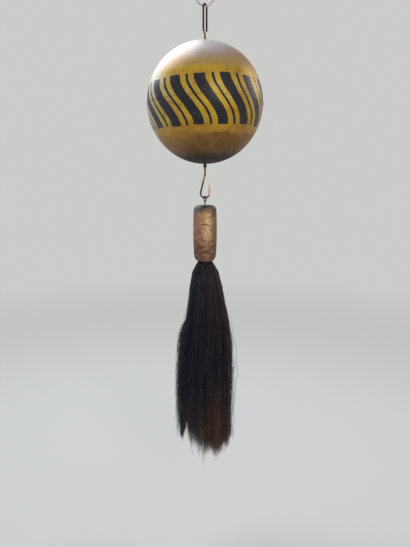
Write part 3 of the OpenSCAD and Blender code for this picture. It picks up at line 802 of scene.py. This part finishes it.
class SIGN_OT_head(bpy.types.Operator):
    """Turns the wooden head, and works cracks, chips and dents into it"""
    bl_idname = "barber_sign.head"
    bl_label = "Turned head"

    BORE = 1.4 * MM
    STEPS_ROUND, SHOULDER_ROWS, SIDE_ROWS, TAPER_ROWS = 260, 32, 160, 40

    # Each crack: height above the foot, where its middle is (turned to the right of the front),
    # how far it runs to each side, its rise at the middle, and its share of the full depth
    CRACKS = [
        (80, 0, 30, 6, 1.0), (50, 16, 34, -4, 0.9), (62, -42, 24, 3, 0.6), (101, 40, 26, 4, 0.6),
        (30, -8, 34, 4, 0.6), (72, 95, 40, 6, 0.9), (40, 150, 46, -5, 0.8), (92, 200, 50, 5, 0.9),
        (58, 250, 36, -4, 0.8), (108, 300, 30, 3, 0.6), (22, 120, 40, 3, 0.6), (18, 270, 44, -3, 0.6),
    ]

    def crack_at(self, place):
        """How deep a crack is at a place on the head, from 0 to 1."""
        height = (place.z - HEAD_LOW.z) / MM
        turn = math.degrees(math.atan2(place.x, -place.y))
        swing = noise.noise(place * 90) * 5 + noise.noise(place * 320) * 1.5
        deepest = 0.0
        for level, middle, reach, rise, depth in self.CRACKS:
            off = (turn - middle + 180) % 360 - 180
            if abs(off) > reach:
                continue
            along = off / reach
            line = level + rise * (1 - along * along) + swing
            width = (0.35 + 1.0 * depth) * (1 - along * along) ** 0.5 + 0.15
            near = 1 - abs(height - line) / width
            deepest = max(deepest, depth * max(0.0, near))
        check = abs(noise.noise(Vector((place.x * 130, place.y * 130, place.z * 22))))
        if check < 0.018 and noise.noise(place * 45 + Vector((5, 0, 0))) > 0.05:
            deepest = max(deepest, 0.55 * (1 - check / 0.018))
        return deepest

    def outline(self, head):
        """The head from the shank's bore over its outside and up the socket, as radius and height."""
        foot, side = HEAD_LOW.z, head.diameter / 2 - head.swell
        top = foot + head.height
        down = head.height - head.shoulder - head.taper
        rows = [(self.BORE, top), (6 * MM, top), (11 * MM, top)]
        for i in range(self.SHOULDER_ROWS + 1):
            a = math.pi / 2 * (1 - i / self.SHOULDER_ROWS)
            rows.append((side - head.shoulder * (1 - math.cos(a)), top - head.shoulder * (1 - math.sin(a))))
        for i in range(1, self.SIDE_ROWS):
            t = i / self.SIDE_ROWS
            rows.append((side + head.swell * (1 - (2 * t - 1) ** 2), top - head.shoulder - t * down))
        for i in range(self.TAPER_ROWS + 1):
            a = math.pi / 2 * i / self.TAPER_ROWS
            rows.append((head.mouth / 2 + (side - head.mouth / 2) * math.cos(a),
                         foot + head.taper * (1 - math.sin(a))))
        socket, depth = head.socket / 2, foot + head.socket_depth
        return rows + [(socket, foot), (socket, depth), (self.BORE, depth), (self.BORE, top)]

    def execute(self, context):
        head = context.scene.barber_sign.head
        draw_line([Vector((r, 0, z)) for r, z in self.outline(head)])
        bpy.ops.mesh.spin(steps=self.STEPS_ROUND, angle=math.tau, center=(0, 0, 0), axis=(0, 0, 1))
        leave_edit()
        seat()
        mesh = context.object.data
        cracks = mesh.attributes.new("crack", "FLOAT", "POINT")
        in_socket = HEAD_LOW.z + head.socket_depth + 1 * MM
        normals = [vertex.normal.copy() for vertex in mesh.vertices]
        for i, (vertex, out) in enumerate(zip(mesh.vertices, normals)):
            place = vertex.co.copy()
            reach = math.hypot(place.x, place.y)
            if reach < 4 * MM or (reach < head.mouth / 2 - 0.5 * MM and place.z < in_socket):
                continue
            depth = self.crack_at(place)
            cracks.data[i].value = min(1.0, depth * 1.7)
            soft = noise.noise(place * 60) * 0.35 + noise.noise(place * 170) * 0.16
            chip = max(0.0, noise.noise(place * 130 + Vector((0, 0, 4))) - 0.32) * 1.4
            vertex.co = place - out * (head.crack * depth + (0.25 - soft * 0.5 + chip * 0.6) * MM)
        settle("gilded_head", "tassel", worn_gilding(head), ["tassel_head"], 180)
        dress("hair_root", pitch_finish())
        return {"FINISHED"}


class SIGN_OT_binding(bpy.types.Operator):
    """Winds the copper wire that binds the hair under the head"""
    bl_idname = "barber_sign.binding"
    bl_label = "Copper binding"

    def execute(self, context):
        wire_radius, radius, pitch, turns = 0.5 * MM, 15.5 * MM, 1.6 * MM, 3
        top = HEAD_LOW.z - 0.8 * MM
        wire = Wire((radius, -0.1 * MM, top), (0, 1, 0), wire_radius, 10, 0.1)
        steps = 60
        for _ in range(turns * steps):
            wire.bend((0, 0, 0), (0, 0, 1), math.tau / steps, 1)
            wire.shift((0, 0, -pitch / steps))
        wire.end()
        copper = plain_metal("copper_wire", (0.50, 0.20, 0.075), (0.16, 0.075, 0.035), 0.42,
                             800, (0.46, 0.66), 0.06 * MM)
        settle("copper_binding", "tassel", copper, ["root_binding"], 60)
        return {"FINISHED"}


class SIGN_OT_hair(bpy.types.Operator):
    """Grows the horsehair in locks, with a separate lock at the left, wisps and stray hairs"""
    bl_idname = "barber_sign.hair"
    bl_label = "Horsehair"

    RINGS, LOCKS, STRAYS = 20, 230, 1600
    PLACE_SEED, LOCK_SEED, STRAND_SEED, STRAY_SEED = 11, 12, 21, 61
    # How far a lock's strands spread on the unit disc
    SPREAD, STRAY_SPREAD = 0.13, 0.2
    # Millimetres below the head, and there the reach of the hair to the left, the right and the depth
    DOWN = [0, 6.5, 14, 28, 55, 88, 130, 150, 165, 178, 210, 248, 290, 328, 396, 435, 480, 540]
    RIGHT = [14.2, 14.4, 22.5, 31.5, 38.5, 44, 52, 56, 58.5, 60.5, 62.5, 64, 64, 63, 62.5, 65.5, 66, 64]
    LEFT = [14.2, 14.4, 22, 29.5, 34, 36.5, 39.5, 41, 43, 46, 53, 61, 66, 69, 69, 67, 62, 50]
    DEPTH = [14.2, 14.3, 20, 27, 32, 36, 40, 42, 43.5, 44.5, 46, 47, 47, 47, 46, 44, 40, 34]
    # The lock at the left: how far out its middle lies and its half width, from where it leaves the rest
    LOCK_DOWN = [0, 100, 150, 165, 178, 210, 248, 290, 328, 396, 425, 445, 462, 540]
    LOCK_OUT = [0, 33, 36, 43.5, 46.5, 48.5, 50.5, 52, 53.5, 55, 56.5, 58, 59.5, 60]
    LOCK_HALF = [0, 5, 5.5, 8, 8.5, 8.5, 8.5, 8.5, 8, 5, 3.4, 2.2, 1.2, 1]
    # Where the hair ends, by its place from left to right at the ends
    TIP_AT = [-66, -52, -47, -42, -34, -26, -14, 0, 18, 36, 44, 49, 55, 66]
    TIP_DOWN = [450, 424, 428, 438, 448, 452, 456, 470, 478, 475, 466, 458, 468, 448]

    def locks(self, draw):
        """Places of the locks on the unit disc, spread evenly, most of them near the outside."""
        golden = math.pi * (3 - math.sqrt(5))
        i = np.arange(self.LOCKS)
        reach = np.sqrt((i + 0.5) / self.LOCKS) ** 0.8
        turn = i * golden + draw.normal(0, 0.15, self.LOCKS)
        return np.stack([reach * np.cos(turn), reach * np.sin(turn)], 1)

    def grow(self, count, seed, spread, stray):
        """Middle lines, radii and colouring of strands, as arrays of strand, ring and value."""
        draw = np.random.default_rng(seed)

        def some(low, high):
            """A number for each strand, one to a row."""
            return draw.uniform(low, high, (count, 1))

        def few(share):
            """True for about that share of the strands."""
            return some(0, 1) < share

        def rise(value, start, reach):
            """From 0 to 1 as the value goes from start through reach."""
            return np.clip((value - start) / reach, 0, 1)

        locks = self.locks(np.random.default_rng(self.PLACE_SEED))
        lock_draw, each = np.random.default_rng(self.LOCK_SEED), (self.LOCKS, 1)
        lock_longer = lock_draw.normal(0, 15, each)
        lock_sway = lock_draw.uniform(-1, 1, (self.LOCKS, 4))
        lock_brown = lock_draw.uniform(0, 1, each)
        lock_tone = lock_draw.uniform(0, 1, each)
        lock_proud = lock_draw.uniform(-0.07, 0.035, each)

        # Each strand's lock, and its place in the lock
        weight = np.where(locks[:, 0] < -0.45, 2.6, 1.0) if stray else np.ones(self.LOCKS)
        own = draw.choice(self.LOCKS, count, p=weight / weight.sum())
        middle = locks[own]
        turn, reach = some(0, math.tau), np.sqrt(some(0, 1))
        at_root = middle + np.hstack([np.cos(turn), np.sin(turn)]) * (reach * spread) * 1.25
        at_root /= np.maximum(1, np.linalg.norm(at_root, axis=1, keepdims=True) / 0.98)
        gather = some(0.1, 0.85)

        # Its length
        across = middle[:, :1]
        is_lock = across < -0.66
        end_x = np.where(is_lock, -60, np.where(across < 0, across / 0.66 * 52, across * 61))
        longest = np.where(is_lock, 462 - 40 * reach ** 2,
                           np.interp(end_x, self.TIP_AT, self.TIP_DOWN) + lock_longer[own])
        short = draw.exponential(1, (count, 1)) * 9
        thin_end = np.abs(end_x + 20) < 21
        much_shorter = few(np.where(thin_end, 0.40, 0.18))
        short = np.where(much_shorter, short + some(14, 110), short)
        long = few(0.07) * some(4, 22)
        wisp = few(0.12) & thin_end
        total = longest - short + long + np.where(wisp, some(8, 50), 0)
        if stray:
            total -= few(0.5) * some(0, 200)
        t = np.linspace(0, 1, self.RINGS) ** 0.86
        down = np.clip(total, 120, 536) * t

        # Its middle line in the outline of the whole, and that of the lock at the left
        kept = 1 - np.minimum(gather * (down / 470) ** 1.4, 0.92)
        proud = 1 + lock_proud[own] * rise(down, 0, 120)
        px, py = ((middle[:, [i]] + (at_root - middle)[:, [i]] * kept) * proud for i in (0, 1))
        right, left = np.interp(down, self.DOWN, self.RIGHT), np.interp(down, self.DOWN, self.LEFT)
        x = px * np.where(px > 0, right, left)
        y = py * np.interp(down, self.DOWN, self.DEPTH)
        lock_x = (px + 0.83) / 0.17 * np.interp(down, self.LOCK_DOWN, self.LOCK_HALF)
        lock_x -= np.interp(down, self.LOCK_DOWN, self.LOCK_OUT)
        joins = rise(down, 128, 38)
        x = np.where(is_lock, x * (1 - joins) + lock_x * joins, x)
        y = np.where(is_lock, y * (1 - 0.72 * rise(down, 300, 160)), y)

        # Waves of the lock and of the strand, crimp, and frayed ends
        grown = (down / 500) ** 1.3
        for size, phase, wave_x, wave_y, swings in ((3.2, math.pi, 78, 66, lock_sway[own]),
                                                    (1.5, 3, 52, 47, draw.normal(0, 1, (count, 4)))):
            start_x, start_y, swing_x, swing_y = np.hsplit(swings, 4)
            x += grown * size * np.sin(down / wave_x + start_x * phase) * swing_x
            y += grown * size * np.sin(down / wave_y + start_y * phase) * swing_y
        crimp = (2.0 if stray else 1.0) * some(0.3, 1.3) * rise(down, 12, 60)
        start_x, start_y = np.hsplit(draw.uniform(0, math.tau, (count, 2)), 2)
        wave = some(8.5, 13)
        frayed = rise(t, 0.84, 0.16)
        x += crimp * np.sin(down / wave + start_x)
        y += crimp * np.sin(down / wave + start_y)
        x += frayed * draw.normal(0, 2.2, (count, 1))
        y += frayed * draw.normal(0, 2.2, (count, 1))
        if stray:
            out = np.hstack([x[:, -1:], y[:, -1:]])
            out /= np.maximum(np.linalg.norm(out, axis=1, keepdims=True), 1e-6)
            far = some(1, 14) + few(0.10) * some(3, 11)
            far = far * np.sin(np.clip(t * 1.25, 0, 1) * math.pi / 2) ** 3
            x += out[:, :1] * far
            y += out[:, 1:] * far

        thick = some(0.75, 1.15) * (0.62 if stray else 1.0)
        radius = thick * (1 - 0.75 * rise(t, 0.8, 0.2)) * np.interp(down, [0, 20, 90], [0.45, 0.6, 1.0])

        # Brown at the lower right, at some tips and here and there above; pale at the ends
        brown = rise(down, 270, 120) * np.exp(-((x - 26) / 18) ** 2)
        brown *= 0.15 + 0.65 * lock_brown[own] + 0.25 * some(0, 1)
        brown += rise(t, 0.78, 0.22) * some(0, 0.8)
        upper = np.clip(1 - down / 260, 0, 1) * (0.5 + 0.5 * np.clip(x / 26, -1, 1))
        brown += upper * 0.26 * lock_brown[::-1][own]
        brown += few(0.05) * some(0.15, 0.6)
        brown *= np.clip(1 + (x + 14) / 36, 0.12, 1)
        pale = rise(t, 0.86, 0.14) * some(0, 1) ** 3 * 0.8
        pale += rise(t, 0.86, 0.10) * (thin_end * some(0, 0.6))
        pale += rise(t, 0.84, 0.10) * wisp * 0.5
        pale += few(0.05) * some(0.05, 0.45)
        own_tone = (0.5 * some(0, 1) + 0.5 * lock_tone[own]) * np.ones_like(down)
        colouring = np.stack([np.clip(brown, 0, 1), np.clip(pale, 0, 1), own_tone], 2)
        return np.stack([x, y, HEAD_LOW.z / MM + 3 - down], 2), radius, colouring

    def pale_hair(self):
        """One long pale hair that lies slantwise over the front of the rest."""
        t = np.linspace(0, 1, self.RINGS)
        centre = np.stack([8 - 18 * t + 2 * np.sin(t * 5), -46.5 - 2.5 * np.sin(t * math.pi),
                           HEAD_LOW.z / MM - 172 - 146 * t], 1)
        return centre[None], np.full((1, self.RINGS), 0.6), np.tile([0.0, 0.8, 1.0], (1, self.RINGS, 1))

    def strand_mesh(self, name, strands, thickness):
        """Three-sided strands as one mesh, each closed at its root and drawn to a fine end."""
        centre, radius, colouring = strands
        count, rings = radius.shape
        turn = np.arange(3) * math.tau / 3 + 0.4
        ring = np.stack([np.cos(turn), np.sin(turn), np.zeros(3)], 1)
        half = thickness / MM / 2
        points = centre[:, :, None, :] + ring[None, None] * (radius * half)[:, :, None, None]
        base = (np.arange(count) * rings * 3)[:, None, None]
        level = (np.arange(rings - 1) * 3)[None, :, None]
        side = np.arange(3)[None, None, :]
        ahead = (side + 1) % 3
        quads = np.stack([base + level + side, base + level + 3 + side, base + level + 3 + ahead,
                          base + level + ahead], 3).reshape(-1, 4)
        root = base[:, 0, 0][:, None] + np.array([0, 1, 2])[None]
        tip = root[:, ::-1] + (rings - 1) * 3
        corners = np.concatenate([quads.ravel(), root.ravel(), tip.ravel()])
        starts = np.concatenate([np.arange(len(quads)) * 4, len(quads) * 4 + np.arange(2 * count) * 3])
        mesh = bpy.data.meshes.new(name)
        mesh.vertices.add(count * rings * 3)
        mesh.vertices.foreach_set("co", (points * MM).astype(np.float32).ravel())
        mesh.loops.add(len(corners))
        mesh.loops.foreach_set("vertex_index", corners.astype(np.int32))
        mesh.polygons.add(len(starts))
        mesh.polygons.foreach_set("loop_start", starts.astype(np.int32))
        mesh.update(calc_edges=True)
        mesh.validate()
        tint = mesh.attributes.new("strand", "FLOAT_VECTOR", "POINT")
        spread = np.repeat(colouring[:, :, None, :], 3, axis=2)
        tint.data.foreach_set("vector", spread.astype(np.float32).ravel())
        piece = bpy.data.objects.new(name, mesh)
        bpy.context.scene.collection.objects.link(piece)
        nothing_selected()
        piece.select_set(True)
        bpy.context.view_layer.objects.active = piece

    def execute(self, context):
        hair = context.scene.barber_sign.hair
        finish = horse_hair(hair)
        names = ("hair_first", "hair_second", "hair_third", "hair_fourth", "hair_fifth", "hair_sixth")
        for i, name in enumerate(names):
            strands = self.grow(hair.strands // len(names), self.STRAND_SEED + i, self.SPREAD, False)
            self.strand_mesh(name, strands, hair.thickness)
            settle(name, "tassel", finish, ["horsehair"] if i == 0 else (), 180)
        strays = self.grow(self.STRAYS, self.STRAY_SEED, self.STRAY_SPREAD, True)
        strays = [np.concatenate(pair) for pair in zip(strays, self.pale_hair())]
        self.strand_mesh("hair_strays", strays, hair.thickness)
        settle("hair_strays", "tassel", finish, (), 180)
        return {"FINISHED"}


class SIGN_OT_stage(bpy.types.Operator):
    """Sets up the pale floor and background, the soft lamps and the camera"""
    bl_idname = "barber_sign.stage"
    bl_label = "Stage"

    FLOOR_RADIUS = 9
    SENSOR, LENS = 36, 28.56
    SKY, SKY_STRENGTH = (0.92, 0.96, 1.0), 0.42

    def floor_finish(self, stage):
        """Paper near the sign, which goes over into the background's colour further out."""
        f = Finish("floor_paper")
        f.surface(Base_Color=stage.paper, Roughness=0.9, Specular_IOR_Level=0.1)
        far = f.vector("LENGTH", f.vector("MULTIPLY", f.place, (1, 1, 0)), output=1)
        glow = f.node("Emission", {"Color": stage.backdrop, "Strength": 1.0})
        f.feed(f.out, f.node("MixShader", {0: f.step(far, 0.7, 3.2), 1: f.shader, 2: glow}))
        return f.material

    def world(self, stage):
        """The background's colour where it is seen, and a soft sky that lights the rest."""
        world = bpy.data.worlds.new("studio")
        bpy.context.scene.world = world
        g = Graph(world, "World")
        rays = ("Is Camera Ray", "Is Transmission Ray", "Is Glossy Ray")
        camera, through, glossy = g.outputs("LightPath", rays)
        shown = g.maths("MAXIMUM", g.maths("MAXIMUM", camera, through), glossy)
        sky = g.node("Background", {"Color": self.SKY, "Strength": self.SKY_STRENGTH})
        behind = g.node("Background", {"Color": stage.backdrop})
        g.feed(g.out, g.node("MixShader", {0: shown, 1: sky, 2: behind}))

    def lamp(self, name, place, target, size, power, tone):
        nothing_selected()
        bpy.ops.object.light_add(type="AREA", location=place)
        lamp = bpy.context.object
        lamp.name = name
        lamp.data.shape = "DISK"
        lamp.data.size = size
        lamp.data.energy = power
        lamp.data.color = tone
        lamp.visible_camera = False
        lamp.rotation_euler = (Vector(target) - Vector(place)).to_track_quat("-Z", "Y").to_euler()

    def execute(self, context):
        stage = context.scene.barber_sign.stage
        for stray in [o for o in context.scene.objects if o.type in ("LIGHT", "CAMERA")]:
            bpy.data.objects.remove(stray)
        nothing_selected()
        floor_height = HAIR_LOW.z - stage.floor_gap
        bpy.ops.mesh.primitive_circle_add(vertices=96, radius=self.FLOOR_RADIUS, fill_type="NGON",
                                          location=(0, 0, floor_height))
        floor = context.object
        floor.name = "floor"
        floor.data.materials.append(self.floor_finish(stage))
        self.world(stage)
        middle = (0, 0, -0.35)
        self.lamp("key", (-0.92, 0.86, 1.12), (0, 0, -0.25), 1.9, stage.key, (0.96, 0.985, 1.0))
        self.lamp("fill", (0.75, -1.9, 0.3), middle, 0.9, stage.fill, (1.0, 0.97, 0.94))
        self.lamp("rim", (1.5, 0.7, 0.5), middle, 0.8, stage.fill, (1.0, 0.97, 0.93))
        bpy.ops.object.camera_add(location=(0, -stage.camera_back, stage.camera_height),
                                  rotation=(math.pi / 2 - stage.camera_pitch, 0, 0))
        camera = context.object
        camera.data.sensor_width, camera.data.lens = self.SENSOR, self.LENS
        context.scene.camera = camera
        context.scene.view_settings.view_transform = "Standard"
        return {"FINISHED"}


class SIGN_PT_panel(bpy.types.Panel):
    """Lists the sign's pieces in the order in which they are made"""
    bl_idname = "SIGN_PT_panel"
    bl_label = "Barber's Ball Sign"
    bl_space_type = "VIEW_3D"
    bl_region_type = "UI"
    bl_category = "Barber's Ball"

    def draw(self, context):
        settings = context.scene.barber_sign
        for title, group, operators in (
            ("Ring", settings.ring, [SIGN_OT_ring]),
            ("Rod", settings.rod, [SIGN_OT_rod, SIGN_OT_collar]),
            ("Ball", settings.ball, [SIGN_OT_ball]),
            ("Head", settings.head, [SIGN_OT_head, SIGN_OT_binding]),
            ("Hair", settings.hair, [SIGN_OT_hair]),
            ("Stage", settings.stage, [SIGN_OT_stage]),
        ):
            box = self.layout.box()
            box.label(text=title)
            for key in group.__annotations__:
                box.prop(group, key)
            for operator in operators:
                box.operator(operator.bl_idname)


SETTINGS = (RingSettings, RodSettings, BallSettings, HeadSettings, HairSettings, StageSettings,
            SignSettings)
OPERATORS = (SIGN_OT_ring, SIGN_OT_rod, SIGN_OT_collar, SIGN_OT_ball, SIGN_OT_head, SIGN_OT_binding,
             SIGN_OT_hair, SIGN_OT_stage)
CLASSES = (*SETTINGS, *OPERATORS, SIGN_PT_panel)


def register():
    for made in CLASSES:
        bpy.utils.register_class(made)
    bpy.types.Scene.barber_sign = PointerProperty(type=SignSettings)


def unregister():
    del bpy.types.Scene.barber_sign
    for made in reversed(CLASSES):
        bpy.utils.unregister_class(made)


def main():
    register()
    bpy.ops.barber_sign.stage()
    bpy.ops.barber_sign.ring()
    bpy.ops.barber_sign.rod()
    bpy.ops.barber_sign.collar()
    bpy.ops.barber_sign.ball()
    bpy.ops.barber_sign.head()
    bpy.ops.barber_sign.binding()
    bpy.ops.barber_sign.hair()


if __name__ == "__main__":
    main()
